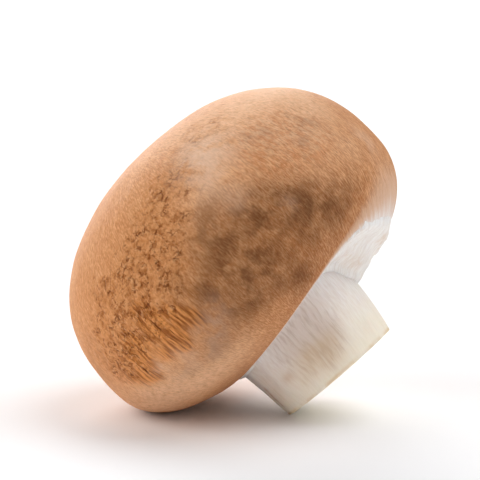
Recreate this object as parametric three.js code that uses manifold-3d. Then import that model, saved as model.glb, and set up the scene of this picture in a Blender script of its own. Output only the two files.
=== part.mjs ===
// A brown button mushroom, picked and trimmed, lying on its side.
//
// Three pieces: the domed cap with its margin rolled under, the partial veil that closes the
// underside between the margin and the stem, and the stem with its end cut square.
// Millimetres, +Z up. The piece lies on z = 0 with the stem pointing to +X and down, and
// the origin is under the middle of its box.
//
// Each piece is first shaped upright, crown up, round its own axis: "turn" is the angle round
// that axis, "depth" is counted down from the widest ring of the cap.

import * as THREE from 'three'
import { ParametricGeometry } from 'three/addons/geometries/ParametricGeometry.js'
import { mergeVertices } from 'three/addons/utils/BufferGeometryUtils.js'
import Module from 'manifold-3d'

const wasm = await Module()
wasm.setup()

const DEGREE = Math.PI / 180
const FULL_TURN = 2 * Math.PI

// ---- Driving dimensions -------------------------------------------------------------------

// Cap: a superellipse above and below its widest ring
const CAP_RADIUS = 25
const CROWN_HEIGHT = 19.45
const CROWN_FULLNESS = 2.28 // 2 is an ellipse, more is squarer
const UNDER_DEPTH = 13.1
const UNDER_FULLNESS = 2.57
const UNDER_SAG = 0.076 // the underside is deeper on the side of turn 0, by this share
const SAG_RADIUS = 9 // inside this radius what changes with the turn fades out

// Margin: where the brown skin ends on the underside, by the turn round the axis
const MARGIN_RADIUS = 15
const MARGIN_REACH = 6 // pulled outwards here by a broad tongue of veil
const REACH_TURN = -43 * DEGREE
const REACH_SHARPNESS = 3.6
const MARGIN_TUCK = 3 // rolled further in here
const TUCK_TURN = -150 * DEGREE
const TUCK_SHARPNESS = 3
const LIP_RADIUS = 0.6

// Veil: a ring of membrane that sits in the rolled margin
const VEIL_THICKNESS = 2
const VEIL_DEPTH = 12.4 // where it meets the stem
const VEIL_SAG = 0.7 // deeper by this on the side of turn 0
const VEIL_RECESS = 4.2 // and drawn up behind the margin over a wide stretch round here
const RECESS_TURN = -65 * DEGREE
const RECESS_SHARPNESS = 8
const RECESS_SPREAD = 12 // the larger, the wider and flatter the stretch
const VEIL_ARCH = 0.5 // below 1 the veil turns away from the margin in a curve
const FOLD_HEIGHT = 0.28
const FOLD_COUNT = 2.5 // folds between the stem and the margin
const FOLD_WANDER = 0.9 // how far the folds slide as they go round, in radians

// Stem: a slight barrel with shallow ribs along it
const STEM_TOP_DEPTH = 5
const STEM_END_DEPTH = 20.6
const STEM_TOP_RADIUS = 9.1
const STEM_BELLY_RADIUS = 9.75
const STEM_END_RADIUS = 8.95
const STEM_LEAN = 5.2 * DEGREE
const LEAN_DEPTH = 12 // the stem leans about this depth
const STEM_SHIFT_X = -0.66
const STEM_SHIFT_Y = -0.56
const RIB_HEIGHT = 0.12
const RIB_COUNT = 11
const CUT_BULGE = 0.3 // the cut face is slightly domed
const RIM_RADIUS = 0.25

// Lying pose: the axis points down by this much, and both touching spots are pressed flat
const AXIS_DIP = 43 * DEGREE
const CAP_CENTRE_HEIGHT = 20.84

const GAP = 0.3 // clearance between pieces that touch

const CAP_TURNS = 72
const STEM_TURNS = 66
const CROWN_STEPS = 18
const UNDER_STEPS = 11
const LIP_STEPS = 3
const SEAT_STEPS = 8
const VEIL_STEPS = 12
const STEM_STEPS = 12

// ---- Form ---------------------------------------------------------------------------------

// A smooth swelling that is 1 at its centre and fades round the axis
const swelling = (turn, centre, sharpness) => Math.exp(sharpness * (Math.cos(turn - centre) - 1))

const marginRadius = (turn) =>
  MARGIN_RADIUS +
  MARGIN_REACH * swelling(turn, REACH_TURN, REACH_SHARPNESS) -
  MARGIN_TUCK * swelling(turn, TUCK_TURN, TUCK_SHARPNESS)

// Height of the underside at a radius: below the widest ring, so negative
function undersideHeight(radius, turn) {
  const sag = 1 + UNDER_SAG * Math.cos(turn) * Math.min(1, radius / SAG_RADIUS)
  const share = Math.pow(radius / CAP_RADIUS, UNDER_FULLNESS)
  return -UNDER_DEPTH * sag * Math.pow(Math.max(0, 1 - share), 1 / UNDER_FULLNESS)
}

// Height of the veil's face at a radius, from the margin in to the stem
function veilHeight(radius, turn) {
  const margin = marginRadius(turn)
  const edge = undersideHeight(margin, turn)
  const drawn = RECESS_SPREAD * swelling(turn, RECESS_TURN, RECESS_SHARPNESS)
  const recess = VEIL_RECESS * (1 - Math.exp(-drawn))
  const change = (recess - VEIL_SAG * Math.cos(turn)) * Math.min(1, radius / SAG_RADIUS)
  const share = Math.min(1, Math.max(0, (margin - radius) / (margin - STEM_TOP_RADIUS)))
  const faded = edge + (-VEIL_DEPTH + change - edge) * Math.pow(share, VEIL_ARCH)
  return radius < SAG_RADIUS ? -VEIL_DEPTH + change : faded
}

// From the crown over the widest ring to the margin, round the lip, then back along the
// veil's seat to the axis
function capProfile(turn) {
  const points = []
  const crownPower = 2 / CROWN_FULLNESS
  const underPower = 2 / UNDER_FULLNESS
  for (let i = 0; i <= CROWN_STEPS; i++) {
    const angle = (i / CROWN_STEPS) * (Math.PI / 2)
    points.push([
      CAP_RADIUS * Math.pow(Math.sin(angle), crownPower),
      CROWN_HEIGHT * Math.pow(Math.cos(angle), crownPower)
    ])
  }
  const margin = marginRadius(turn)
  const marginAngle = Math.acos(Math.pow(margin / CAP_RADIUS, 1 / underPower))
  for (let i = 1; i <= UNDER_STEPS; i++) {
    const radius = CAP_RADIUS * Math.pow(Math.cos((i / UNDER_STEPS) * marginAngle), underPower)
    points.push([radius, undersideHeight(radius, turn)])
  }
  const marginHeight = undersideHeight(margin, turn)
  for (let i = 1; i <= LIP_STEPS; i++) {
    const angle = (i / LIP_STEPS) * (Math.PI / 2)
    points.push([
      margin - LIP_RADIUS * Math.sin(angle),
      marginHeight + LIP_RADIUS * (1 - Math.cos(angle))
    ])
  }
  const seatRadius = margin - LIP_RADIUS
  for (let i = 0; i <= SEAT_STEPS; i++) {
    const radius = seatRadius * (1 - i / SEAT_STEPS)
    points.push([radius, veilHeight(radius, turn) + VEIL_THICKNESS + GAP])
  }
  return points
}

// Folds that run round the stem, dying out at both edges of the veil
function foldHeight(share, turn) {
  const phase = FOLD_COUNT * FULL_TURN * share + FOLD_WANDER * Math.sin(turn)
  return -FOLD_HEIGHT * Math.sin(phase) * Math.sin(Math.PI * share)
}

// A closed ring: in along the visible face, and back out along the seat. Its inner edge lies
// inside the stem, and the socket cuts it there.
function veilProfile(turn) {
  const points = []
  const inner = STEM_END_RADIUS / 2
  const outer = marginRadius(turn) - LIP_RADIUS - GAP
  for (let i = 0; i <= VEIL_STEPS; i++) {
    const share = 1 - i / VEIL_STEPS
    const radius = inner + (outer - inner) * share
    points.push([radius, veilHeight(radius, turn) + foldHeight(share, turn)])
  }
  for (let i = 0; i <= SEAT_STEPS; i++) {
    const radius = inner + (outer - inner) * (i / SEAT_STEPS)
    points.push([radius, veilHeight(radius, turn) + VEIL_THICKNESS])
  }
  points.push(points[0])
  return points
}

// Barrel between three radii, with ribs that fade into the cap
function stemRadius(share, turn) {
  const bow = 4 * share * (1 - share)
  const straight = STEM_TOP_RADIUS + (STEM_END_RADIUS - STEM_TOP_RADIUS) * share
  const middle = (STEM_TOP_RADIUS + STEM_END_RADIUS) / 2
  const rib = RIB_HEIGHT * share * Math.cos(RIB_COUNT * turn + 2 * Math.sin(2 * turn))
  return straight + (STEM_BELLY_RADIUS - middle) * bow + rib
}

function stemProfile(turn) {
  const points = [[0, -STEM_TOP_DEPTH]]
  for (let i = 0; i <= STEM_STEPS; i++) {
    const share = i / STEM_STEPS
    const depth = STEM_TOP_DEPTH + (STEM_END_DEPTH - RIM_RADIUS - STEM_TOP_DEPTH) * share
    points.push([stemRadius(share, turn), -depth])
  }
  const rim = stemRadius(1, turn) - RIM_RADIUS
  points.push([rim + RIM_RADIUS * Math.SQRT1_2, -(STEM_END_DEPTH - RIM_RADIUS * (1 - Math.SQRT1_2))])
  points.push([rim, -STEM_END_DEPTH])
  points.push([rim / 2, -(STEM_END_DEPTH + 0.75 * CUT_BULGE)])
  points.push([0, -(STEM_END_DEPTH + CUT_BULGE)])
  return points
}

// ---- Solids -------------------------------------------------------------------------------

// The closed surface that a profile sweeps round the Z axis, where the profile may change
// with the turn
function turnedGeometry(profileAt, turns) {
  const profiles = Array.from({ length: turns }, (_, i) => profileAt((i / turns) * FULL_TURN))
  const last = profiles[0].length - 1
  const place = (along, round, target) => {
    const column = Math.round(round * turns)
    const [radius, height] = profiles[column % turns][Math.round(along * last)]
    const turn = ((column % turns) / turns) * FULL_TURN
    target.set(radius * Math.cos(turn), radius * Math.sin(turn), height)
  }
  return new ParametricGeometry(place, last, turns)
}

function asSolid(geometry) {
  geometry.deleteAttribute('normal')
  geometry.deleteAttribute('uv')
  const merged = mergeVertices(geometry, 1e-4)
  const corners = merged.index.array
  const triangles = []
  for (let i = 0; i < corners.length; i += 3) {
    const [a, b, c] = corners.slice(i, i + 3)
    if (a !== b && b !== c && c !== a) triangles.push(a, b, c)
  }
  return new wasm.Manifold(
    new wasm.Mesh({
      numProp: 3,
      vertProperties: merged.attributes.position.array,
      triVerts: new Uint32Array(triangles)
    })
  )
}

function asMesh(name, solid, material) {
  const { vertProperties, triVerts, numProp } = solid.getMesh()
  if (numProp !== 3) throw new Error(`${name} carries more than positions`)
  const geometry = new THREE.BufferGeometry()
  geometry.setAttribute('position', new THREE.BufferAttribute(vertProperties, 3))
  geometry.setIndex(new THREE.BufferAttribute(triVerts, 1))
  geometry.computeVertexNormals()
  const mesh = new THREE.Mesh(geometry, material)
  mesh.name = name
  return mesh
}

// ---- Pose ---------------------------------------------------------------------------------

// The upright axis is tipped back until the stem points to +X and down by AXIS_DIP
const mushroom = new THREE.Group()
mushroom.rotation.y = AXIS_DIP - Math.PI / 2
mushroom.position.z = CAP_CENTRE_HEIGHT
mushroom.updateMatrix()

const toStemLean = new THREE.Matrix4()
  .makeTranslation(STEM_SHIFT_X, STEM_SHIFT_Y, -LEAN_DEPTH)
  .multiply(new THREE.Matrix4().makeRotationY(STEM_LEAN))
  .multiply(new THREE.Matrix4().makeTranslation(0, 0, LEAN_DEPTH))

// All that lies below the surface, seen from the upright mushroom
const below = new THREE.BoxGeometry(200, 200, 20)
below.translate(0, 0, -10)
below.applyMatrix4(mushroom.matrix.clone().invert())
const surface = asSolid(below)

// ---- Pieces -------------------------------------------------------------------------------

const skin = new THREE.MeshStandardMaterial({ color: 0xc0875a, roughness: 0.75, metalness: 0 })
const membrane = new THREE.MeshStandardMaterial({ color: 0xe6dccf, roughness: 0.85, metalness: 0 })
const flesh = new THREE.MeshStandardMaterial({ color: 0xdccab0, roughness: 0.8, metalness: 0 })

const stemSolid = asSolid(turnedGeometry(stemProfile, STEM_TURNS).applyMatrix4(toStemLean))

// The socket is the stem swollen by the gap, and it runs on past the veil
const socketProfile = (turn) => [
  [0, -(STEM_TOP_DEPTH - GAP)],
  ...stemProfile(turn).slice(1, STEM_STEPS + 1).map(([radius, height]) => [radius + GAP, height]),
  [stemRadius(1, turn) + GAP, -STEM_END_DEPTH],
  [0, -STEM_END_DEPTH]
]
const socket = asSolid(turnedGeometry(socketProfile, STEM_TURNS).applyMatrix4(toStemLean))

const cap = asSolid(turnedGeometry(capProfile, CAP_TURNS)).subtract(socket).subtract(surface)
const veil = asSolid(turnedGeometry(veilProfile, CAP_TURNS)).subtract(socket)
const stem = stemSolid.subtract(surface)

mushroom.add(asMesh('cap', cap, skin))
mushroom.add(asMesh('veil', veil, membrane))
mushroom.add(asMesh('stem', stem, flesh))

// The origin goes under the middle of the box
const box = new THREE.Box3().setFromObject(mushroom, true)
const footprint = box.getCenter(new THREE.Vector3())
mushroom.position.x -= footprint.x
mushroom.position.y -= footprint.y

export default mushroom
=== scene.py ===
import math

import bmesh
import bpy
from mathutils import Matrix, Vector, noise


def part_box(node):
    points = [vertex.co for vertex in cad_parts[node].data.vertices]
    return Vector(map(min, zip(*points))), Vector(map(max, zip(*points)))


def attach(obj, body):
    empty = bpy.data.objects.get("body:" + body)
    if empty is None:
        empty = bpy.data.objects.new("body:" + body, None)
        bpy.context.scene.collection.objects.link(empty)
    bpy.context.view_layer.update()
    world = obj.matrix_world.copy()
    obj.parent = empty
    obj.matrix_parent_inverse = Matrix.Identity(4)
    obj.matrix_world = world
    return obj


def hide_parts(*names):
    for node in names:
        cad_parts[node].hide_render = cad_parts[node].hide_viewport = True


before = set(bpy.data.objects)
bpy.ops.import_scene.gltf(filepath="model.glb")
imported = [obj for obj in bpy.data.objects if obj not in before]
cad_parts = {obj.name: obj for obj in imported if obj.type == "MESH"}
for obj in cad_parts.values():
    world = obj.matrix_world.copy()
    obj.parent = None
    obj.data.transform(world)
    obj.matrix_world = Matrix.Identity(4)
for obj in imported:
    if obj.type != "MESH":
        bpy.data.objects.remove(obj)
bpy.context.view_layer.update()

# ---- Camera -------------------------------------------------------------------------------
# A long lens a little above the table, turned so that the stem comes slightly towards it.
# It is aimed just above the middle of the cap.

LENS = 164.6
SENSOR = 36.0
CAMERA_DISTANCE = 0.3
CAMERA_AZIMUTH = math.radians(11.8)
CAMERA_ELEVATION = math.radians(8.0)
AIM_ABOVE_CAP = 0.00258
NEAREST_SEEN = 0.01

# The cap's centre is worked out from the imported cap. Half its width is its radius, and as it
# lies on its side its crown reaches out from the centre to the lowest X.
cap_low, cap_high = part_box("cap")
MM = 0.001
CAP_RADIUS = (cap_high.y - cap_low.y) / 2 / MM
CROWN_HEIGHT = 19.45
CROWN_FULLNESS = 2.28
AXIS_DIP = math.radians(43)
CAP_CENTRE_HEIGHT = 0.02084
CROWN_STEPS = 200


def crown_point(angle):
    """Radius and height on the crown, at 0 on the axis and at pi / 2 on the widest ring."""
    radius = CAP_RADIUS * math.sin(angle) ** (2 / CROWN_FULLNESS)
    return radius, CROWN_HEIGHT * max(0.0, math.cos(angle)) ** (2 / CROWN_FULLNESS)


crown_arc = [crown_point(math.pi / 2 * i / CROWN_STEPS) for i in range(CROWN_STEPS + 1)]
crown_reach = max(r * math.sin(AXIS_DIP) + h * math.cos(AXIS_DIP) for r, h in crown_arc)
cap_centre = Vector((
    cap_low.x + crown_reach * MM,
    (cap_low.y + cap_high.y) / 2,
    CAP_CENTRE_HEIGHT,
))
lay_down = (
    Matrix.Translation(cap_centre)
    @ Matrix.Rotation(AXIS_DIP - math.pi / 2, 4, "Y")
    @ Matrix.Scale(MM, 4)
)

aim = cap_centre + Vector((0, 0, AIM_ABOVE_CAP))
back = Vector((
    math.sin(CAMERA_AZIMUTH) * math.cos(CAMERA_ELEVATION),
    -math.cos(CAMERA_AZIMUTH) * math.cos(CAMERA_ELEVATION),
    math.sin(CAMERA_ELEVATION),
))
camera = bpy.data.objects.new("camera", bpy.data.cameras.new("camera"))
camera.data.lens = LENS
camera.data.sensor_width = SENSOR
camera.data.clip_start = NEAREST_SEEN
camera.location = aim + back * CAMERA_DISTANCE
camera.rotation_euler = back.to_track_quat("Z", "Y").to_euler()
bpy.context.scene.collection.objects.link(camera)
bpy.context.scene.camera = camera

# ---- Cap ----------------------------------------------------------------------------------
# The brown dome, fleshy and matt. Its skin is made of fine fibres that run out from the crown
# and it rolls under to a thin margin. A broad patch of it is pitted, with torn fibres below.

UNDER_DEPTH = 13.1
UNDER_FULLNESS = 2.57
UNDER_SAG = 0.076
SAG_RADIUS = 9.0
MARGIN_RADIUS = 15.0
MARGIN_REACH, REACH_TURN, REACH_SHARPNESS = 6.0, math.radians(-43), 3.6
MARGIN_TUCK, TUCK_TURN, TUCK_SHARPNESS = 3.0, math.radians(-150), 3.0
LIP_RADIUS = 0.6
STEM_TOP_RADIUS = 9.1
VEIL_THICKNESS = 2.0
PIECE_GAP = 0.3
VEIL_DEPTH, VEIL_SAG = 12.4, 0.7
VEIL_RECESS, RECESS_TURN = 4.2, math.radians(-65)
RECESS_SHARPNESS, RECESS_SPREAD = 8.0, 12.0
VEIL_ARCH = 0.5
RIM_START = 24.5
CAP_TURNS = 460
CROWN_ROWS = 128
UNDER_ROWS = 62
LIP_ROWS = 6
SEAT_ROWS = 5
WELD_DISTANCE = 1e-5
SLACK, SEAT_SLACK = 1e-4, 1e-3
TABLE_CLEARANCE = 0.00001

# Where the skin changes: the felted crown, the streaky side, the darker band by the margin
# and the bare rim that runs widest on one side
CROWN_INNER, CROWN_OUTER = 4.0, 13.0
STREAKY_LEAST, STREAKY_MORE = 0.35, 0.65
STREAKY_TURN, STREAKY_SHARPNESS = math.radians(-25), 2.0
EDGE_REACH = 7
BARE_LEAST, BARE_MORE = 0.3, 9.5
BARE_TURN, BARE_SHARPNESS = math.radians(-5), 10.0

# Relief of the skin: each pair is a height and a width of the bumps
SKIN_BUMPS = ((0.16, 10.0), (0.07, 4.0), (0.01, 1.1))
PITTED_BUMPS = ((0.12, 1.4), (0.14, 0.6))
TUFT_HEIGHT, TUFT_WIDTH, TUFT_STRETCH = 0.2, 0.95, 0.22
GASH_DEPTH = 0.16
RELIEF_FADE = 1.2
SKIN_RADIUS, SKIN_FLATNESS = 22.0, 1.2

# A mark is left out past this many radii squared, and a split runs a little past both its ends
MARK_REACH = 7
SPLIT_START, SPLIT_FULL, SPLIT_FADING, SPLIT_END = -0.2, 0.3, 0.6, 1.2


def swelling(turn, centre, sharpness):
    """1 at its centre, fading round the axis."""
    return math.exp(sharpness * (math.cos(turn - centre) - 1))


def margin_radius(turn):
    """How far the margin is from the axis: pulled out on one side, tucked in on another."""
    reach = MARGIN_REACH * swelling(turn, REACH_TURN, REACH_SHARPNESS)
    tuck = MARGIN_TUCK * swelling(turn, TUCK_TURN, TUCK_SHARPNESS)
    return MARGIN_RADIUS + reach - tuck


def underside(radius, turn=math.pi / 2):
    """Height of the underside, below the widest ring, so negative."""
    sag = 1 + UNDER_SAG * math.cos(turn) * min(1.0, radius / SAG_RADIUS)
    share = max(0.0, 1 - (radius / CAP_RADIUS) ** UNDER_FULLNESS)
    return -UNDER_DEPTH * sag * share ** (1 / UNDER_FULLNESS)


def veil_height(radius, turn):
    """Height of the veil's face at a radius, from the margin in to the stem."""
    margin = margin_radius(turn)
    edge = underside(margin, turn)
    drawn = RECESS_SPREAD * swelling(turn, RECESS_TURN, RECESS_SHARPNESS)
    recess = VEIL_RECESS * (1 - math.exp(-drawn))
    change = (recess - VEIL_SAG * math.cos(turn)) * min(1.0, radius / SAG_RADIUS)
    if radius < SAG_RADIUS:
        return -VEIL_DEPTH + change
    share = min(1.0, max(0.0, (margin - radius) / (margin - STEM_TOP_RADIUS)))
    return edge + (-VEIL_DEPTH + change - edge) * share ** VEIL_ARCH


def spun(profile, turns):
    """A closed body: the profile, as (radius, height) points, spun once round the axis."""
    bm = bmesh.new()
    corners = [bm.verts.new((radius, 0, height)) for radius, height in profile]
    edges = [bm.edges.new(pair) for pair in zip(corners, corners[1:])]
    bmesh.ops.spin(
        bm, geom=corners + edges, cent=(0, 0, 0), axis=(0, 0, 1), dvec=(0, 0, 0),
        angle=2 * math.pi, steps=turns, use_merge=True, use_normal_flip=False,
        use_duplicate=False,
    )
    bmesh.ops.remove_doubles(bm, verts=bm.verts, dist=WELD_DISTANCE)
    bmesh.ops.recalc_face_normals(bm, faces=bm.faces)
    return bm


def finished(name, bm, body="root"):
    """Lays the upright millimetre shape down, pressed flat where it would pass the table."""
    bmesh.ops.transform(bm, matrix=lay_down, verts=bm.verts)
    for vert in bm.verts:
        vert.co.z = max(vert.co.z, TABLE_CLEARANCE)
    mesh = bpy.data.meshes.new(name)
    bm.to_mesh(mesh)
    bm.free()
    mesh.shade_smooth()
    piece = bpy.data.objects.new(name, mesh)
    bpy.context.scene.collection.objects.link(piece)
    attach(piece, body)
    return piece


def smoothstep(low, high, value):
    """From 0 to 1 between low and high, eased at both ends."""
    share = min(1.0, max(0.0, (value - low) / (high - low)))
    return share * share * (3 - 2 * share)


def spot(turn, height):
    """The point of the cap's skin at a turn, in degrees, and a height, in mm."""
    if height >= 0:
        share = (1 - (height / CROWN_HEIGHT) ** CROWN_FULLNESS) ** (1 / CROWN_FULLNESS)
    else:
        share = (1 - (-height / UNDER_DEPTH) ** UNDER_FULLNESS) ** (1 / UNDER_FULLNESS)
    angle = math.radians(turn)
    radius = CAP_RADIUS * share
    return Vector((radius * math.cos(angle), radius * math.sin(angle), height))


def marks(*rows):
    """Soft round marks: each row is a turn in degrees, a height, a radius and a strength."""
    return [(spot(turn, height), radius, strength) for turn, height, radius, strength in rows]


def marked(point, places):
    """How strongly a list of marks shows at a point, up to 1."""
    total = 0.0
    for centre, radius, strength in places:
        distance = (point - centre).length_squared / (radius * radius)
        if distance < MARK_REACH:
            total += strength * math.exp(-distance)
    return min(1.0, total)


# Crumbly, pitted skin
PITTED = marks(
    (-46, 14.2, 3.6, 0.35), (-60, 13.8, 4.0, 0.5), (-74, 11.8, 4.2, 0.6), (-86, 9.5, 4.5, 0.8),
    (-95, 7.0, 4.5, 0.9), (-103, 4.5, 4.5, 1.0), (-112, 3.5, 4.2, 1.0), (-122, 3.0, 4.2, 0.9),
    (-128, 1.0, 3.6, 0.8), (-138, 2.5, 3.6, 0.5), (-118, 8.5, 4.0, 0.5),
    (60, 9.0, 6.0, 0.5), (78, 11.0, 5.0, 0.4), (150, 12.0, 6.0, 0.4), (100, -2.0, 5.0, 0.35),
)
# Skin torn into tufts
TORN = marks(
    (-110, 3.6, 1.6, 0.8), (-108.5, 1.6, 1.8, 0.9), (-107, -0.4, 1.8, 0.9),
    (-106.5, -2.4, 1.5, 0.9), (-107, -3.6, 1.1, 0.8), (-120, 2.2, 1.5, 0.8),
    (-121.5, 0.4, 1.6, 0.9), (-123, -1.4, 1.6, 0.9), (-124, -3.2, 1.3, 0.9),
    (-114, -2.6, 1.4, 0.6), (-115, 0.4, 1.4, 0.4), (-101, 0.4, 1.5, 0.6), (-98.5, -1.6, 1.4, 0.8),
    (-97, -3.0, 1.0, 0.6), (-93, 0.8, 1.3, 0.3), (75, 3.0, 3.5, 0.35), (84, 1.0, 3.0, 0.35),
    (-129, -2.6, 1.8, 0.5), (-134, -1.0, 1.8, 0.45), (-128, 1.0, 1.6, 0.4),
)
# Splits between the torn tufts: the turn and height of both ends, a half width and a strength
GASHES = (
    (-105.5, 0.6, -107, -2.3, 0.30, 1.0), (-112, -0.3, -111, -2.9, 0.28, 0.8),
    (-101.5, 0.0, -104, -3.0, 0.26, 0.8), (-98, 0.6, -98, -1.7, 0.24, 0.6),
    (-123, 2.0, -123, -1.3, 0.30, 0.9), (-123.5, 0.2, -126, -3.0, 0.28, 0.9),
    (-132.5, 2.2, -135, 0.0, 0.26, 0.6), (-107, 4.6, -108, 2.2, 0.28, 0.7),
    (-109, 2.2, -109, -0.2, 0.30, 0.9), (-117, 2.6, -118, 0.2, 0.26, 0.6),
    (-118, -1.0, -119, -3.2, 0.24, 0.6), (-94.5, 1.2, -95, -0.8, 0.22, 0.4),
    (75, 4.0, 75, 1.5, 0.3, 0.5), (80, 3.0, 81, 0.2, 0.3, 0.5), (86, 2.6, 86, 0.4, 0.28, 0.4),
)
# Chalky bloom
BLOOM = marks(
    (-62, 11.3, 3.4, 0.6), (-56, 13.6, 3.6, 0.45), (-52, 10.5, 3.0, 0.3), (-66, 8.4, 2.4, 0.3),
    (-64, 4.5, 1.6, 0.3), (-54, -0.7, 1.0, 0.28), (-90, -3.4, 1.8, 0.2), (-97, -4.8, 2.0, 0.35),
    (-112, -5.2, 2.2, 0.3), (-104, -6.4, 2.2, 0.2), (-120, -4.4, 1.8, 0.6), (-10, -1.6, 3.0, 0.4),
    (20, 14.0, 6.0, 0.6), (130, 5.0, 5.0, 0.6), (-170, 8.0, 4.0, 0.5), (90, 15.0, 5.0, 0.4),
    (70, -5.0, 4.0, 0.5),
)
# Lighter, peach skin, partly real and partly painted light: a painted highlight high on the cap and
# painted brightness low down
PALE_AND_LIT = marks(
    (-32, 12.9, 5.0, 0.6), (-22, 10.4, 5.0, 0.7), (-15, 7.0, 4.5, 0.55), (-44, 12.0, 4.5, 0.6),
    (-40, 7.5, 4.0, 0.5), (-27, 3.6, 4.0, 0.55), (-22, -1.0, 3.0, 0.3), (-56, 16.2, 5.0, 0.5),
    (-66, 8.2, 4.0, 0.3), (-56, 6.5, 3.4, 0.25), (-46, 2.4, 3.0, 0.15), (-37, -1.0, 3.0, 0.2),
    (-73, 9.0, 4.0, 0.3), (-34, 5.0, 3.6, 0.4), (-77, -6.0, 3.0, 0.1), (0, 12.0, 7.0, 0.6),
    (30, 10.0, 8.0, 0.5), (-134, -5.5, 5.0, 0.8), (-120, -8.5, 5.0, 0.8), (-102, -9.0, 4.5, 0.6),
    (-150, -6.0, 5.0, 0.7), (120, -6.0, 7.0, 0.6), (160, 4.0, 8.0, 0.5), (75, -8.0, 5.0, 0.5),
)
# Painted shade: darker, greyer patches
PAINTED_SHADE = marks(
    (-53, -1.4, 3.6, 0.4), (-45, -3.0, 3.6, 0.35), (-38, -5.6, 3.0, 0.35), (-56, -5.2, 3.6, 0.45),
    (-71, -3.4, 3.8, 0.55), (-74, -6.4, 3.4, 0.25), (-66, 1.2, 3.8, 0.5), (-77, 2.4, 3.8, 0.6),
    (-84, -3.4, 3.6, 0.65), (-86, -6.6, 3.0, 0.4), (-30, -3.6, 2.6, 0.1), (-24, -4.4, 2.6, 0.1),
    (-98, -7.0, 2.6, 0.35), (-92, -1.6, 2.6, 0.3), (-66, -8.0, 3.0, 0.55), (-98, -4.6, 2.6, 0.35),
    (-106, -6.6, 2.4, 0.4), (-116, -5.6, 2.0, 0.3), (-87, -0.8, 3.4, 0.25), (-94, 2.0, 2.6, 0.25),
    (-60, 2.0, 3.4, 0.4), (-50, 0.0, 3.2, 0.25), (-44, -5.2, 3.0, 0.3), (50, -2.0, 6.0, 0.5),
    (110, 3.0, 6.0, 0.4), (170, -3.0, 5.0, 0.4),
)
# Brown bruises
BRUISE = marks(
    (-79, 4.4, 1.6, 0.8), (-74, 6.4, 1.6, 0.5), (-68, 6.0, 1.8, 0.4), (-74, 3.4, 1.6, 0.4),
    (-77, -2.6, 2.6, 0.35), (-62, -1.6, 2.4, 0.2), (-52, -3.6, 2.2, 0.2), (-32, -5.0, 2.0, 0.3),
    (-82, -4.6, 2.4, 0.3), (-47, 6.6, 1.2, 0.4), (-150, 3.0, 2.0, 0.4), (-138, 4.2, 2.0, 0.3),
    (110, 8.0, 3.0, 0.5), (50, 0.0, 4.0, 0.4), (20, 2.0, 3.0, 0.3),
)
# Rusty patches, mottled
RUST = marks(
    (-36, 6.0, 4.0, 0.8), (-42, 9.0, 3.6, 0.8), (-30, 4.2, 3.2, 0.7), (-47, 4.0, 3.4, 0.7),
    (-26, 8.4, 3.0, 0.4), (-34, 1.6, 3.0, 0.5), (-52, 7.6, 2.6, 0.5), (-22, 2.6, 3.0, 0.5),
    (-75, 14.0, 3.0, 0.6), (-66, 15.0, 2.6, 0.5), (-92, 8.6, 3.6, 0.4), (-100, 6.6, 3.6, 0.4),
    (-110, 3.0, 4.0, 0.3), (-122, 1.0, 3.6, 0.3), (-140, 0.0, 4.0, 0.5), (-60, -6.0, 3.0, 0.4),
    (60, 5.0, 6.0, 0.6), (140, 8.0, 6.0, 0.6), (100, 10.0, 5.0, 0.5), (0, 4.0, 5.0, 0.6),
)
# Small dull smudges
SMUDGE = marks(
    (-25, 5.2, 1.5, 0.5), (-34, 3.7, 1.4, 0.45), (-39, 8.2, 1.1, 0.5), (-44, 9.3, 1.0, 0.5),
    (-30, 4.4, 1.2, 0.4), (-140, 6.0, 2.0, 0.3), (40, 6.0, 2.0, 0.5), (140, -1.0, 2.0, 0.5),
)


def split(point, places):
    """How deep the splits are at a point of the skin, up to 1; each tapers to its ends."""
    total = 0.0
    for turn_a, height_a, turn_b, height_b, width, strength in places:
        start, end = spot(turn_a, height_a), spot(turn_b, height_b)
        along = (point - start).dot(end - start) / (end - start).length_squared
        if SPLIT_START < along < SPLIT_END:
            across = (point - start - (end - start) * along).length / width
            taper = smoothstep(SPLIT_START, SPLIT_FULL, along)
            taper *= 1 - smoothstep(SPLIT_FADING, SPLIT_END, along)
            total += strength * taper * math.exp(-across * across)
    return min(1.0, total)


outer_skin = [crown_point(math.pi / 2 * i / CROWN_ROWS) for i in range(CROWN_ROWS + 1)]
margin_angle = math.acos((MARGIN_RADIUS / CAP_RADIUS) ** (UNDER_FULLNESS / 2))
for i in range(1, UNDER_ROWS + 1):
    radius = CAP_RADIUS * math.cos(margin_angle * i / UNDER_ROWS) ** (2 / UNDER_FULLNESS)
    outer_skin.append((radius, underside(radius)))
margin_height = underside(MARGIN_RADIUS)
lip = [
    (
        MARGIN_RADIUS - LIP_RADIUS * math.sin(math.pi / 2 * i / LIP_ROWS),
        margin_height + LIP_RADIUS * (1 - math.cos(math.pi / 2 * i / LIP_ROWS)),
    )
    for i in range(1, LIP_ROWS + 1)
]
seat_radius = MARGIN_RADIUS - LIP_RADIUS
seat_height = margin_height + 2 * LIP_RADIUS
seat = [(seat_radius * (1 - i / SEAT_ROWS), seat_height) for i in range(SEAT_ROWS + 1)]

cap_bm = spun(outer_skin + lip + seat, CAP_TURNS)
grain = cap_bm.verts.layers.float_vector.new("grain")
MARKS = {
    "pitted": PITTED, "torn": TORN, "bloom": BLOOM, "pale_and_lit": PALE_AND_LIT, "painted_shade": PAINTED_SHADE, "rust": RUST,
    "bruise": BRUISE, "smudge": SMUDGE,
}
layers = {
    key: cap_bm.verts.layers.float.new(key)
    for key in ("pitted", "torn", "gash", "bloom", "pale_and_lit", "painted_shade", "rust", "bruise", "smudge",
                "bare", "crown", "streaky", "edge")
}


def along_skin(point):
    """Distance from the crown along the skin, in mm, close enough to space the fibres."""
    tilt = math.atan2(math.hypot(point.x, point.y), point.z * SKIN_FLATNESS)
    return tilt * SKIN_RADIUS


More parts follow.
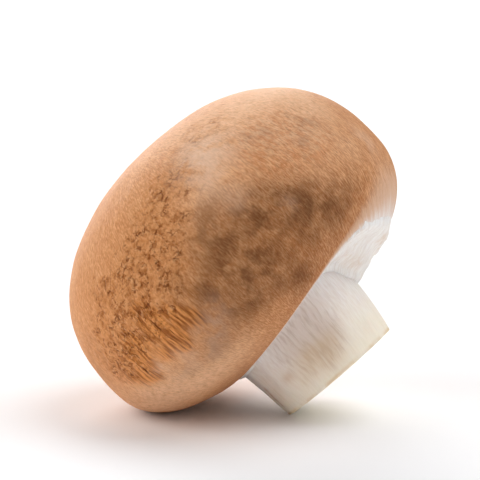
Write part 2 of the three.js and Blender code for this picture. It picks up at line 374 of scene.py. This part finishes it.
# The even turned shape is pulled to the uneven margin, and its inside to the back of the veil
behind = set()
for vert in cap_bm.verts:
    point = vert.co.copy()
    radius, turn = math.hypot(point.x, point.y), math.atan2(point.y, point.x)
    margin = margin_radius(turn)
    if point.z >= 0:
        continue
    if radius > RIM_START:
        height = underside(radius, turn)
    elif radius < MARGIN_RADIUS - SLACK and point.z > seat_height - SEAT_SLACK:
        behind.add(vert)
        radius *= (margin - LIP_RADIUS) / seat_radius
        height = veil_height(radius, turn) + VEIL_THICKNESS + PIECE_GAP
    elif radius < MARGIN_RADIUS - SLACK:
        behind.add(vert)
        radius += margin - MARGIN_RADIUS
        height = point.z + underside(margin, turn) - margin_height
    else:
        share = (radius - MARGIN_RADIUS) / (RIM_START - MARGIN_RADIUS)
        radius = margin + share * (RIM_START - margin)
        height = underside(radius, turn)
    vert.co = (radius * math.cos(turn), radius * math.sin(turn), height)
cap_bm.normal_update()

for vert in cap_bm.verts:
    point = vert.co.copy()
    radius, turn = math.hypot(point.x, point.y), math.atan2(point.y, point.x)
    shown = {key: marked(point, places) for key, places in MARKS.items()}
    shown["gash"] = split(point, GASHES)
    for key, value in shown.items():
        vert[layers[key]] = value
    vert[layers["crown"]] = 1 - smoothstep(CROWN_INNER, CROWN_OUTER, radius) if point.z > 0 else 0.0
    streaky_side = swelling(turn, STREAKY_TURN, STREAKY_SHARPNESS)
    vert[layers["streaky"]] = STREAKY_LEAST + STREAKY_MORE * streaky_side
    along = along_skin(point)
    vert[grain] = Vector((CAP_RADIUS * math.cos(turn), CAP_RADIUS * math.sin(turn), along))
    margin = margin_radius(turn)
    edge = Vector((margin, underside(margin, turn)))
    from_margin = (Vector((radius, point.z)) - edge).length
    vert[layers["edge"]] = max(0.0, 1 - from_margin / EDGE_REACH)
    fade = BARE_LEAST + BARE_MORE * swelling(turn, BARE_TURN, BARE_SHARPNESS)
    vert[layers["bare"]] = 1.0 if vert in behind else 1 - from_margin / fade
    if vert in behind:
        continue
    relief = 0.0
    for height, width in SKIN_BUMPS:
        relief += height * noise.noise(point / width)
    for height, width in PITTED_BUMPS:
        relief += shown["pitted"] * height * noise.noise(point / width)
    fibre = Vector((vert[grain].x, vert[grain].y, along * TUFT_STRETCH)) / TUFT_WIDTH
    relief += shown["torn"] * TUFT_HEIGHT * noise.noise(fibre) - GASH_DEPTH * shown["gash"]
    relief *= smoothstep(0.0, RELIEF_FADE, from_margin)
    vert.co = point + vert.normal * relief

cap = finished("cap_skin", cap_bm)
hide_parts("cap")


def add(tree, kind, inputs=(), **settings):
    """A new node; inputs are pairs of a socket and a value or another node's output."""
    node = tree.nodes.new(kind)
    for key, value in settings.items():
        setattr(node, key, value)
    for socket, value in inputs:
        if isinstance(value, bpy.types.NodeSocket):
            tree.links.new(value, node.inputs[socket])
        else:
            node.inputs[socket].default_value = value
    return node


def attribute(tree, name, vector=False):
    node = add(tree, "ShaderNodeAttribute", attribute_name=name)
    return node.outputs["Vector" if vector else "Fac"]


def in_mm(tree):
    """The piece's own coordinates in millimetres."""
    here = add(tree, "ShaderNodeTexCoord").outputs["Object"]
    return placed(tree, here, (1000, 1000, 1000))


def placed(tree, vector, scale):
    """The coordinates, stretched or squeezed along each of their axes."""
    node = add(tree, "ShaderNodeMapping", [("Vector", vector), ("Scale", scale)])
    return node.outputs["Vector"]


def clouds(tree, vector, scale, detail=3.0, roughness=0.5, distortion=0.0):
    node = add(tree, "ShaderNodeTexNoise", [
        ("Vector", vector), ("Scale", scale), ("Detail", detail), ("Roughness", roughness),
        ("Distortion", distortion),
    ])
    return node.outputs["Fac"]


def stirred(tree, vector, scale, reach):
    """The coordinates pushed about by noise, each way by up to half the reach."""
    push = add(tree, "ShaderNodeTexNoise", [
        ("Vector", vector), ("Scale", scale), ("Detail", 2.0)]).outputs["Color"]
    push = add(tree, "ShaderNodeVectorMath", [(0, push), (1, reach)],
               operation="MULTIPLY").outputs[0]
    return add(tree, "ShaderNodeVectorMath", [(0, vector), (1, push)],
               operation="ADD").outputs[0]


def ramp(tree, value, low, high, to_low=0.0, to_high=1.0):
    """The value carried from the range low to high over to the range to_low to to_high."""
    node = add(tree, "ShaderNodeMapRange", [
        ("Value", value), ("From Min", low), ("From Max", high), ("To Min", to_low),
        ("To Max", to_high),
    ], interpolation_type="SMOOTHSTEP")
    return node.outputs["Result"]


def maths(tree, operation, a, b=0.0, c=0.0):
    node = add(tree, "ShaderNodeMath", [(0, a), (1, b), (2, c)], operation=operation)
    return node.outputs[0]


def times(tree, *factors):
    total = factors[0]
    for factor in factors[1:]:
        total = maths(tree, "MULTIPLY", total, factor)
    return total


def blend(tree, factor, a, b, how="MIX"):
    node = add(tree, "ShaderNodeMix", [("Factor", factor), (6, a), (7, b)],
               data_type="RGBA", blend_type=how)
    return node.outputs[2]


def rgb(red, green, blue):
    """A colour from its 0 to 255 screen values."""
    def linear(value):
        share = value / 255
        return share / 12.92 if share <= 0.04045 else ((share + 0.055) / 1.055) ** 2.4
    return (linear(red), linear(green), linear(blue), 1.0)


def new_material(name, roughness, scatter, scatter_depth, scatter_colour):
    """A matt material whose flesh lets a little light in; the caller adds colour and bump."""
    material = bpy.data.materials.new(name)
    material.use_nodes = True
    tree = material.node_tree
    skin = tree.nodes["Principled BSDF"]
    skin.inputs["Roughness"].default_value = roughness
    skin.inputs["Subsurface Weight"].default_value = scatter
    skin.inputs["Subsurface Radius"].default_value = scatter_colour
    skin.inputs["Subsurface Scale"].default_value = scatter_depth
    return material, tree, skin


def bump(tree, height, distance, under=None):
    node = add(tree, "ShaderNodeBump", [("Height", height), ("Distance", distance)])
    if under is not None:
        tree.links.new(under, node.inputs["Normal"])
    return node.outputs["Normal"]


skin_material, tree, skin = new_material(
    "cap_skin", roughness=0.6, scatter=0.04, scatter_depth=0.001, scatter_colour=(1.0, 0.5, 0.3))
skin.inputs["Specular IOR Level"].default_value = 0.08
skin.inputs["Sheen Weight"].default_value = 0.03
skin.inputs["Sheen Roughness"].default_value = 0.5
skin.inputs["Sheen Tint"].default_value = (1.0, 0.9, 0.8, 1.0)

# Patches from large to small, and fibres that follow the grain out from the crown
here = in_mm(tree)
slow = clouds(tree, here, 0.1, 3.0)
patchy = clouds(tree, here, 0.35, 4.0, 0.6)
mottle = clouds(tree, here, 1.3, 4.0, 0.65)
wavy = stirred(tree, attribute(tree, "grain", vector=True), 0.12, (1.4, 1.4, 0.0))
fine = clouds(tree, placed(tree, wavy, (5.5, 5.5, 0.7)), 1.0, 3.0, 0.7)
broad = clouds(tree, placed(tree, wavy, (1.5, 1.5, 0.15)), 1.0, 3.0, 0.6)
suede = clouds(tree, here, 3.2, 3.0, 0.6)
nap = clouds(tree, placed(tree, wavy, (7.0, 7.0, 1.6)), 1.0, 2.0, 0.6)
streaky = attribute(tree, "streaky")

# Pitted skin: crumbly little cushions with short cracks between them; where it is torn, tufts
rough_edge = ramp(tree, clouds(tree, here, 0.5, 2.0), 0.25, 0.75, -0.3, 0.3)
pitted = ramp(tree, maths(tree, "ADD", attribute(tree, "pitted"), rough_edge), 0.15, 0.95)
worn = ramp(tree, clouds(tree, here, 0.7, 3.0), 0.38, 0.62, 0.35, 1.0)
crumbly = times(tree, pitted, worn)
fibres = blend(tree, maths(tree, "MAXIMUM", attribute(tree, "crown"), pitted), fine, suede)
loose = stirred(tree, stirred(tree, here, 0.6, (0.5, 0.5, 0.5)), 2.5, (0.12, 0.12, 0.12))


def to_crack(scale):
    """Distance to the nearest crack of a network of this many cells a millimetre."""
    return add(tree, "ShaderNodeTexVoronoi", [("Vector", loose), ("Scale", scale)],
               feature="DISTANCE_TO_EDGE").outputs["Distance"]


large, small = to_crack(1.05), to_crack(1.9)
shut = ramp(tree, clouds(tree, here, 1.5, 2.0), 0.4, 0.6, 0.3, 0.0)
tight = ramp(tree, clouds(tree, loose, 1.8, 2.0), 0.44, 0.64, 0.3, 0.0)
cracks = times(tree, crumbly, ramp(tree, maths(tree, "ADD", large, shut), 0.04, 0.18, 1.0, 0.0))
nicks = times(tree, crumbly, ramp(tree, maths(tree, "ADD", small, tight), 0.03, 0.2, 1.0, 0.0))
pits = times(tree, crumbly, ramp(tree, clouds(tree, loose, 1.5, 1.0), 0.7, 0.78))
mounds = maths(tree, "SUBTRACT", clouds(tree, loose, 1.3, 2.0, 0.5), 0.5)
torn = attribute(tree, "torn")
tufts = maths(tree, "SUBTRACT", clouds(
    tree, placed(tree, wavy, (2.5, 2.5, 0.22)), 1.0, 2.5, 0.55, 0.3), 0.5)
split_deep = attribute(tree, "gash")

# Base brown: fibres on the streaky side, plainer elsewhere, then patches, a pale tint that is
# partly painted light, nap and rust
plain = rgb(220, 157, 104)
colour = blend(tree, ramp(tree, fibres, 0.36, 0.64), rgb(184, 120, 72), rgb(232, 174, 126))
colour = blend(tree, streaky, plain, colour)
colour = blend(tree, ramp(tree, slow, 0.4, 0.65, 0.0, 0.2), colour, rgb(200, 124, 68))
# Pale peach tint, partly real skin colour and partly painted highlight and painted light
colour = blend(tree, times(tree, attribute(tree, "pale_and_lit"), 0.75), colour, rgb(246, 202, 164))
colour = blend(tree, times(tree, attribute(tree, "edge"), 0.6), colour, rgb(170, 112, 74))
rust_edge = clouds(tree, placed(tree, wavy, (1.8, 1.8, 0.7)), 1.0, 5.0, 0.75)
rusty = times(tree, attribute(tree, "rust"), ramp(tree, rust_edge, 0.4, 0.6, 0.0, 0.55))
colour = blend(tree, rusty, colour, rgb(206, 124, 66))
colour = blend(tree, ramp(tree, mottle, 0.45, 0.7, 0.0, 0.28), colour, rgb(188, 112, 56))
colour = blend(tree, ramp(tree, nap, 0.38, 0.54, 0.32, 0.0), colour, rgb(160, 94, 46))
colour = blend(tree, ramp(tree, nap, 0.5, 0.66, 0.0, 0.4), colour, rgb(242, 188, 140))

# Torn and pitted skin: golden tufts with painted shade between them, mounds with painted shade and
# painted highlight, and painted shade in the cracks, pits and splits
# Golden tufts: the tone is the skin's own, and the dark low end of the ramp is painted shade in the
# gaps between them
gold = blend(tree, ramp(tree, tufts, -0.1, 0.1), rgb(146, 78, 24), rgb(226, 150, 82))
colour = blend(tree, ramp(tree, torn, 0.05, 0.7, 0.0, 0.9), colour, gold)
unspoilt = maths(tree, "SUBTRACT", 1.0, torn)
colour = blend(tree, times(tree, pitted, unspoilt, 0.5), colour, rgb(206, 138, 80))
# Painted shade in the hollows between the mounds, then painted highlight on their tops
colour = blend(tree, times(tree, crumbly, ramp(tree, mounds, -0.14, 0.04, 0.7, 0.0)),
               colour, rgb(158, 90, 38))
colour = blend(tree, times(tree, crumbly, ramp(tree, mounds, 0.02, 0.16, 0.0, 0.6)),
               colour, rgb(224, 162, 110))
# Painted shade: the nicks, cracks, pits and opened splits are darkened where shade falls in them
colour = blend(tree, times(tree, nicks, 0.6), colour, rgb(142, 76, 26))
colour = blend(tree, times(tree, cracks, 0.8), colour, rgb(122, 60, 16))
colour = blend(tree, times(tree, pits, 0.8), colour, rgb(104, 50, 12))
gap = maths(tree, "MULTIPLY_ADD", tufts, -2.5, split_deep)
opened = times(tree, ramp(tree, split_deep, 0.1, 0.5), ramp(tree, gap, 0.55, 1.05, 0.0, 0.9))
colour = blend(tree, opened, colour, rgb(104, 48, 8))

# Single dark and light fibres, then painted shade and the stains over them, and the bare rim of the
# margin
flecks = ramp(tree, clouds(tree, placed(tree, wavy, (3.0, 3.0, 0.6)), 1.0, 2.0), 0.6, 0.7)
colour = blend(tree, times(tree, flecks, ramp(tree, patchy, 0.4, 0.6), streaky, 0.4), colour,
               rgb(140, 84, 42))
threads = ramp(tree, clouds(tree, placed(tree, wavy, (2.8, 2.8, 0.25)), 1.0, 2.0), 0.58, 0.7)
colour = blend(tree, times(tree, threads, ramp(tree, patchy, 0.6, 0.4), streaky, 0.4), colour,
               rgb(240, 186, 136))
mark_edge = ramp(tree, patchy, 0.36, 0.6, 0.15, 1.0)
# Painted shade: a grey multiply over these patches darkens the cap where it lies in shade
painted_shade = times(tree, attribute(tree, "painted_shade"), ramp(tree, patchy, 0.34, 0.64, 0.6, 1.15))
colour = blend(tree, painted_shade, colour, rgb(158, 148, 136), "MULTIPLY")
for key, tint, share in (("bloom", rgb(236, 202, 176), 0.8), ("bruise", rgb(120, 84, 56), 0.6),
                         ("smudge", rgb(126, 86, 68), 0.6)):
    colour = blend(tree, times(tree, attribute(tree, key), mark_edge, share), colour, tint)
bare = maths(tree, "ADD", attribute(tree, "bare"), ramp(tree, broad, 0.3, 0.7, -0.07, 0.07))
bare = maths(tree, "ADD", bare, ramp(tree, fine, 0.3, 0.7, -0.05, 0.05))
colour = blend(tree, ramp(tree, bare, -0.1, 0.6, 0.0, 0.9), colour, rgb(222, 184, 156))
colour = blend(tree, ramp(tree, bare, 0.5, 0.95), colour, rgb(240, 228, 220))
tree.links.new(colour, skin.inputs["Base Color"])

# Fine bumps, each added over the one before
relief = bump(tree, times(tree, fibres, streaky), 0.00007)
relief = bump(tree, times(tree, broad, streaky), 0.00006, under=relief)
relief = bump(tree, mottle, 0.00012, under=relief)
relief = bump(tree, times(tree, rust_edge, attribute(tree, "rust")), 0.0002, under=relief)
relief = bump(tree, times(tree, crumbly, mounds), 0.0006, under=relief)
pillows = maths(tree, "SUBTRACT", ramp(tree, large, 0.0, 0.35), 0.6)
relief = bump(tree, times(tree, crumbly, pillows), 0.00012, under=relief)
crumbs = maths(tree, "SUBTRACT", ramp(tree, small, 0.0, 0.3), 0.6)
relief = bump(tree, times(tree, crumbly, crumbs), 0.00005, under=relief)
relief = bump(tree, times(tree, tufts, torn), 0.0005, under=relief)
relief = bump(tree, nap, 0.00003, under=relief)
tree.links.new(relief, skin.inputs["Normal"])
cap.data.materials.append(skin_material)

# ---- Veil ---------------------------------------------------------------------------------
# The white membrane that still closes the underside, torn and felted, from the rolled margin
# in to the stem. It lies in soft folds round the stem and its fibres run out over the margin.

STEM_END_RADIUS = 8.95
FOLD_HEIGHT, FOLD_COUNT, FOLD_WANDER = 0.28, 2.5, 0.9
VEIL_TURNS = 400
VEIL_ROWS = 60
VEIL_GAP = 0.06
WASHER_MIDDLE = 0.5

# How far it is felted over the margin: least, more on that side, and its raggedness
LAP_LEAST, LAP_MORE, LAP_RAGGED = 0.8, 1.1, 0.7
LAP_TURN, LAP_SHARPNESS = 0.0, 6.0
LAPPED_SHARPNESS, LAPPED_FROM, LAPPED_TO = 4.0, 0.12, 0.45
RAGGED_RING, RAGGED_COARSE, RAGGED_FINE, RAGGED_FINE_SHARE = 18, 1.4, 0.5, 0.5

# The hollow collar round the stem, and the height of felt, strands and lap on the face
COLLAR_RADIUS, COLLAR_SPREAD, COLLAR_DEPTH = 9.7, 0.9, 0.85
FELT_HEIGHT, STRAND_HEIGHT, LAP_HEIGHT = 0.14, 0.16, 0.14
FELT_WIDTH, STRAND_WIDTH = 1.3, 0.7
FREE_EDGE = 0.1
GRAIN_RING, GRAIN_LENGTH = 15, 7


def fold(share, turn):
    """Height of the soft folds at a share of the way out from the stem."""
    phase = FOLD_COUNT * 2 * math.pi * share + FOLD_WANDER * math.sin(turn)
    return -FOLD_HEIGHT * math.sin(phase) * math.sin(math.pi * share)


# Tan stains on the membrane: turn in degrees, radius, reach and strength
STAINS = (
    (-3, 16.2, 1.1, 0.8), (4, 15.4, 0.8, 0.5), (-13, 11.6, 1.6, 0.4), (15, 14.2, 0.6, 1.0),
    (-24, 13.0, 1.5, 0.25), (70, 12.0, 2.0, 0.5), (150, 11.0, 1.5, 0.4), (-130, 12.0, 1.2, 0.3),
)

# Spun as a flat washer whose radius runs from 0 to 1 between the stem and the margin. On one
# side it is felted over the margin, with a ragged edge; all round it runs down onto the stem.
veil_inner = STEM_END_RADIUS / 2
face = [(1 + i / VEIL_ROWS, 0.0) for i in range(VEIL_ROWS, -1, -1)]
veil_bm = spun(face + [(1.0, 1.0), (2.0, 1.0)] + face[:1], VEIL_TURNS)
veil_grain = veil_bm.verts.layers.float_vector.new("grain")
stain_layer = veil_bm.verts.layers.float.new("stain")
for vert in veil_bm.verts:
    share = math.hypot(vert.co.x, vert.co.y) - 1
    turn = math.atan2(vert.co.y, vert.co.x)
    margin = margin_radius(turn)
    round_place = Vector((RAGGED_RING * math.cos(turn), RAGGED_RING * math.sin(turn), 0.0))
    ragged = noise.noise(round_place / RAGGED_COARSE)
    ragged += RAGGED_FINE_SHARE * noise.noise(round_place / RAGGED_FINE)
    lapped = smoothstep(LAPPED_FROM, LAPPED_TO, swelling(turn, LAP_TURN, LAPPED_SHARPNESS))
    lap = LAP_LEAST + LAP_MORE * swelling(turn, LAP_TURN, LAP_SHARPNESS) + LAP_RAGGED * ragged
    outer = margin - LIP_RADIUS - VEIL_GAP + lapped * lap
    radius = veil_inner + (outer - veil_inner) * share
    height = underside(radius, turn) if radius > margin else veil_height(radius, turn)
    collar = math.exp(-max(0.0, radius - COLLAR_RADIUS) / COLLAR_SPREAD)
    vert[veil_grain] = Vector((
        GRAIN_RING * math.cos(turn), GRAIN_RING * math.sin(turn), GRAIN_LENGTH * share))
    vert[stain_layer] = 0.0
    for place_turn, place_radius, reach, strength in STAINS:
        there = math.radians(place_turn)
        off = Vector((radius * math.cos(turn) - place_radius * math.cos(there),
                      radius * math.sin(turn) - place_radius * math.sin(there), 0.0))
        vert[stain_layer] += strength * math.exp(-off.length_squared / reach ** 2)
    if vert.co.z < WASHER_MIDDLE:
        height += fold(share, turn) * (1 - collar)
        here_flat = Vector((radius * math.cos(turn), radius * math.sin(turn), 0))
        felt = noise.noise(here_flat / FELT_WIDTH)
        strands = noise.noise(Vector((6 * math.cos(turn), 6 * math.sin(turn), share * 1.2)) * 2)
        strands += 0.8 * noise.noise(Vector((radius * turn, radius, 0.0)) / STRAND_WIDTH)
        free = smoothstep(0.0, FREE_EDGE, 1 - share)
        rough = FELT_HEIGHT * felt + STRAND_HEIGHT * strands + LAP_HEIGHT * lapped
        height -= rough * free * (1 - collar)
        height -= COLLAR_DEPTH * collar
    else:
        height += VEIL_THICKNESS
    vert.co = (radius * math.cos(turn), radius * math.sin(turn), height)
veil = finished("veil_membrane", veil_bm)
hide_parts("veil")

veil_material, tree, skin = new_material(
    "veil_membrane", roughness=0.85, scatter=0.3, scatter_depth=0.002,
    scatter_colour=(1.0, 0.8, 0.6))
grain_vector = attribute(tree, "grain", vector=True)
here = in_mm(tree)
strands = clouds(tree, placed(tree, grain_vector, (3.0, 3.0, 0.7)), 1.0, 4.0, 0.6, 0.6)
felt = clouds(tree, here, 1.4, 4.0, 0.6)
colour = blend(tree, ramp(tree, strands, 0.3, 0.7), rgb(238, 229, 222), rgb(252, 248, 244))
colour = blend(tree, ramp(tree, felt, 0.54, 0.74, 0.0, 0.3), colour, rgb(230, 212, 194))
stain = times(tree, attribute(tree, "stain"), ramp(tree, felt, 0.35, 0.65, 0.4, 1.0), 0.7)
colour = blend(tree, stain, colour, rgb(214, 178, 140))
tree.links.new(colour, skin.inputs["Base Color"])
relief = bump(tree, strands, 0.00018)
relief = bump(tree, felt, 0.00012, under=relief)
tree.links.new(relief, skin.inputs["Normal"])
veil.data.materials.append(veil_material)

# ---- Stem ---------------------------------------------------------------------------------
# The short thick stem, ivory flesh with fine fibres and wrinkles along it. It was trimmed
# with one straight cut, and the cut end has dried to cream with a thin tan rim.

STEM_TOP_DEPTH, STEM_END_DEPTH = 5.0, 20.6
STEM_BELLY_RADIUS = 9.75
STEM_LEAN = math.radians(5.2)
LEAN_DEPTH = 12.0
STEM_SHIFT = Vector((-0.66, -0.56, 0.0))
RIB_HEIGHT, RIB_COUNT = 0.12, 11
CUT_BULGE = 0.3
RIM_RADIUS = 0.25
STEM_TURNS = 380
STEM_ROWS = 70
RIM_ROWS = 5
CUT_ROWS = 30
CUT_FROM, CUT_EDGE = 0.985, 0.05

# Fine wrinkles, a step in the flesh along one side, and a flare where it meets the veil
WRINKLE_HEIGHT = 0.08
STEP_TURN, STEP_HEIGHT = math.radians(-129), 0.16
STEP_SLANT, STEP_MIDDLE = 0.12, 0.6
FLARE_HEIGHT, FLARE_TURN, FLARE_SHARPNESS = 0.8, math.radians(-150), 4.0
CUT_ROUGHNESS, CUT_ROUGH_WIDTH, CUT_ROUGH_REACH = 0.05, 2.0, 10
MARK_RADIUS, GRAIN_RADIUS = 9.5, 9.4
ON_AXIS = 1e-6


def stem_radius(share):
    """Radius at a share of the way down, bellied in the middle."""
    straight = STEM_TOP_RADIUS + (STEM_END_RADIUS - STEM_TOP_RADIUS) * share
    middle = (STEM_TOP_RADIUS + STEM_END_RADIUS) / 2
    return straight + (STEM_BELLY_RADIUS - middle) * 4 * share * (1 - share)


stem_profile = [(0.0, -STEM_TOP_DEPTH)]
for i in range(STEM_ROWS + 1):
    share = i / STEM_ROWS
    depth = STEM_TOP_DEPTH + (STEM_END_DEPTH - RIM_RADIUS - STEM_TOP_DEPTH) * share
    stem_profile.append((stem_radius(share), -depth))
rim = stem_radius(1) - RIM_RADIUS
for i in range(1, RIM_ROWS + 1):
    angle = math.pi / 2 * i / RIM_ROWS
    stem_profile.append((
        rim + RIM_RADIUS * math.cos(angle),
        -(STEM_END_DEPTH - RIM_RADIUS * (1 - math.sin(angle))),
    ))
for i in range(1, CUT_ROWS + 1):
    share = 1 - i / CUT_ROWS
    stem_profile.append((rim * share, -(STEM_END_DEPTH + CUT_BULGE * (1 - share * share))))


def stem_marks(*rows):
    """Soft round marks: each row is a turn in degrees, a depth, a radius and a strength."""
    places = []
    for turn, depth, radius, strength in rows:
        angle = math.radians(turn)
        centre = Vector((MARK_RADIUS * math.cos(angle), MARK_RADIUS * math.sin(angle), -depth))
        places.append((centre, radius, strength))
    return places


# Painted shade where the cap shades the stem, tan flesh, and small ochre stains
SHADED = stem_marks(
    (-68, 11.0, 2.6, 0.6), (-74, 13.5, 2.8, 0.7), (-70, 16.0, 2.4, 0.6), (-60, 15.0, 2.2, 0.5),
    (-88, 14.5, 3.0, 0.5), (-98, 11.5, 3.0, 0.5), (-50, 11.0, 2.4, 0.35), (60, 14.0, 5.0, 0.5),
    (150, 13.0, 5.0, 0.5),
)
TANNED = stem_marks(
    (-74, 17.2, 2.0, 0.9), (-84, 16.4, 2.2, 0.7), (-94, 16.8, 2.0, 0.5), (-64, 16.2, 1.6, 0.5),
    (-112, 16.5, 0.9, 0.5), (-104, 18.2, 0.8, 0.4), (-134, 14.5, 1.2, 0.5), (-133, 12.2, 1.2, 0.5),
    (-136, 17.0, 1.2, 0.5), (-132, 10.0, 1.2, 0.4), (90, 17.0, 2.5, 0.6), (20, 17.0, 2.0, 0.3),
    (170, 16.0, 2.5, 0.5),
)
STAINED = stem_marks(
    (-147, 15.8, 0.45, 0.6), (-149, 16.8, 0.45, 0.8), (-151, 17.8, 0.5, 1.0),
    (-152, 18.8, 0.5, 1.0), (-113, 16.3, 0.6, 0.35), (120, 18.8, 0.8, 0.7), (70, 12.0, 0.6, 0.5),
)

stem_bm = spun(stem_profile, STEM_TURNS)
stem_grain = stem_bm.verts.layers.float_vector.new("grain")
stem_layers = {
    key: stem_bm.verts.layers.float.new(key)
    for key in ("cut", "down", "shaded", "tanned", "stained")
}
for vert in stem_bm.verts:
    point = vert.co.copy()
    radius, turn = math.hypot(point.x, point.y), math.atan2(point.y, point.x)
    down = (-point.z - STEM_TOP_DEPTH) / (STEM_END_DEPTH - STEM_TOP_DEPTH)
    on_cut = down > CUT_FROM
    vert[stem_grain] = Vector((
        GRAIN_RADIUS * math.cos(turn), GRAIN_RADIUS * math.sin(turn), -point.z))
    vert[stem_layers["cut"]] = 1.0 if on_cut and radius < rim + CUT_EDGE else 0.0
    vert[stem_layers["down"]] = down
    for key, places in (("shaded", SHADED), ("tanned", TANNED), ("stained", STAINED)):
        vert[stem_layers[key]] = marked(point, places)
    wrinkle = noise.noise(Vector((4 * math.cos(turn), 4 * math.sin(turn), down * 1.3)) * 2.2)
    rib = RIB_HEIGHT * min(1.0, down) * math.cos(RIB_COUNT * turn + 2 * math.sin(2 * turn))
    past_step = math.degrees(turn - STEP_TURN - STEP_SLANT * (down - STEP_MIDDLE))
    step = smoothstep(-2.0, 1.0, past_step) * (1 - smoothstep(8.0, 30.0, past_step))
    step *= smoothstep(0.3, 0.45, down) * (1 - smoothstep(0.8, 0.95, down))
    flare = FLARE_HEIGHT * swelling(turn, FLARE_TURN, FLARE_SHARPNESS)
    flare *= 1 - smoothstep(0.25, 0.75, down)
    swell = rib + WRINKLE_HEIGHT * wrinkle + STEP_HEIGHT * step + flare
    swell *= radius / STEM_END_RADIUS
    if radius > ON_AXIS:
        point.x += swell * math.cos(turn)
        point.y += swell * math.sin(turn)
    if on_cut:
        rough = CUT_ROUGHNESS * noise.noise(point / CUT_ROUGH_WIDTH)
        point.z += rough * (1 - radius / CUT_ROUGH_REACH)
    vert.co = point
lean = (
    Matrix.Translation(STEM_SHIFT - Vector((0, 0, LEAN_DEPTH)))
    @ Matrix.Rotation(STEM_LEAN, 4, "Y")
    @ Matrix.Translation((0, 0, LEAN_DEPTH))
)
bmesh.ops.transform(stem_bm, matrix=lean, verts=stem_bm.verts)
stem = finished("stem_flesh", stem_bm)
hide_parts("stem")

stem_material, tree, skin = new_material(
    "stem_flesh", roughness=0.6, scatter=0.35, scatter_depth=0.003,
    scatter_colour=(1.0, 0.75, 0.5))
here = in_mm(tree)
lengthwise = stirred(tree, attribute(tree, "grain", vector=True), 0.15, (1.2, 1.2, 0.0))
threads = clouds(tree, placed(tree, lengthwise, (3.0, 3.0, 0.32)), 1.0, 3.0, 0.6)
hairs = clouds(tree, placed(tree, lengthwise, (5.0, 5.0, 0.7)), 1.0, 2.0, 0.5)
patchy = clouds(tree, here, 0.3, 3.0, 0.6)
down, cut = attribute(tree, "down"), attribute(tree, "cut")
shaded, tanned = attribute(tree, "shaded"), attribute(tree, "tanned")
wrinkled = ramp(tree, maths(tree, "ADD", shaded, times(tree, tanned, 0.4)), 0.0, 0.8, 0.15, 1.0)
colour = blend(tree, ramp(tree, hairs, 0.3, 0.7), rgb(243, 233, 227), rgb(253, 247, 244))
colour = blend(tree, ramp(tree, down, 0.35, 0.95, 0.0, 0.7), colour, rgb(252, 238, 214))
# Painted shade from the cap over the upper and middle stem
colour = blend(tree, times(tree, shaded, 0.6), colour, rgb(214, 192, 178))
colour = blend(tree, times(tree, ramp(tree, threads, 0.45, 0.68), wrinkled, 0.45), colour,
               rgb(190, 166, 148))
colour = blend(tree, times(tree, tanned, ramp(tree, threads, 0.3, 0.7, 0.3, 0.6)), colour,
               rgb(222, 192, 152))
colour = blend(tree, times(tree, attribute(tree, "stained"), 0.75), colour, rgb(186, 128, 66))
dried = times(tree, ramp(tree, down, 0.955, 0.99), ramp(tree, patchy, 0.35, 0.65, 0.1, 0.7))
colour = blend(tree, dried, colour, rgb(222, 188, 136))
cut_face = blend(tree, ramp(tree, clouds(tree, here, 1.2, 3.0), 0.4, 0.6),
                 rgb(236, 220, 188), rgb(246, 238, 218))
colour = blend(tree, cut, colour, cut_face)
tree.links.new(colour, skin.inputs["Base Color"])
relief = bump(tree, times(tree, threads, wrinkled), 0.00015)
relief = bump(tree, hairs, 0.00004, under=relief)
tree.links.new(relief, skin.inputs["Normal"])
stem.data.materials.append(stem_material)

# ---- Table and light ----------------------------------------------------------------------
# A wide white table. The light is even and comes from all round: strongest from high on the
# right and low behind, weaker from the left, weakest from the front, in a white room.

TABLE_SIZE = 12.0
PAPER_COLOUR = (0.93, 0.93, 0.94, 1)
ROOM_COLOUR = (0.97, 0.98, 1.0, 1)
ROOM_STRENGTH = 0.2

table_bm = bmesh.new()
bmesh.ops.create_grid(table_bm, x_segments=1, y_segments=1, size=TABLE_SIZE / 2)
table_mesh = bpy.data.meshes.new("table")
table_bm.to_mesh(table_mesh)
table_bm.free()
table = bpy.data.objects.new("table", table_mesh)
bpy.context.scene.collection.objects.link(table)
paper, tree, skin = new_material(
    "white_paper", roughness=0.9, scatter=0.0, scatter_depth=0.001, scatter_colour=(1, 1, 1))
skin.inputs["Base Color"].default_value = PAPER_COLOUR
skin.inputs["Specular IOR Level"].default_value = 0.0
table.data.materials.append(paper)


def window(name, azimuth, elevation, spread, strength):
    """Even soft light from one side, in degrees; azimuth counts from +X towards +Y."""
    lamp = bpy.data.objects.new(name, bpy.data.lights.new(name, "SUN"))
    lamp.data.energy = strength
    lamp.data.angle = math.radians(spread)
    around, up = math.radians(azimuth), math.radians(elevation)
    towards = Vector((math.cos(around) * math.cos(up), math.sin(around) * math.cos(up),
                      math.sin(up)))
    lamp.rotation_euler = towards.to_track_quat("Z", "Y").to_euler()
    bpy.context.scene.collection.objects.link(lamp)


window("right", 20, 62, 50, 1.5)
window("back", 118, 20, 50, 3.0)
window("left", 200, 30, 50, 1.0)
window("front_left", 228, 30, 50, 0.45)
window("right_front", 340, 16, 50, 0.35)

world = bpy.data.worlds.new("white_room")
world.use_nodes = True
world.node_tree.nodes["Background"].inputs["Color"].default_value = ROOM_COLOUR
world.node_tree.nodes["Background"].inputs["Strength"].default_value = ROOM_STRENGTH
bpy.context.scene.world = world
bpy.context.scene.view_settings.view_transform = "Standard"
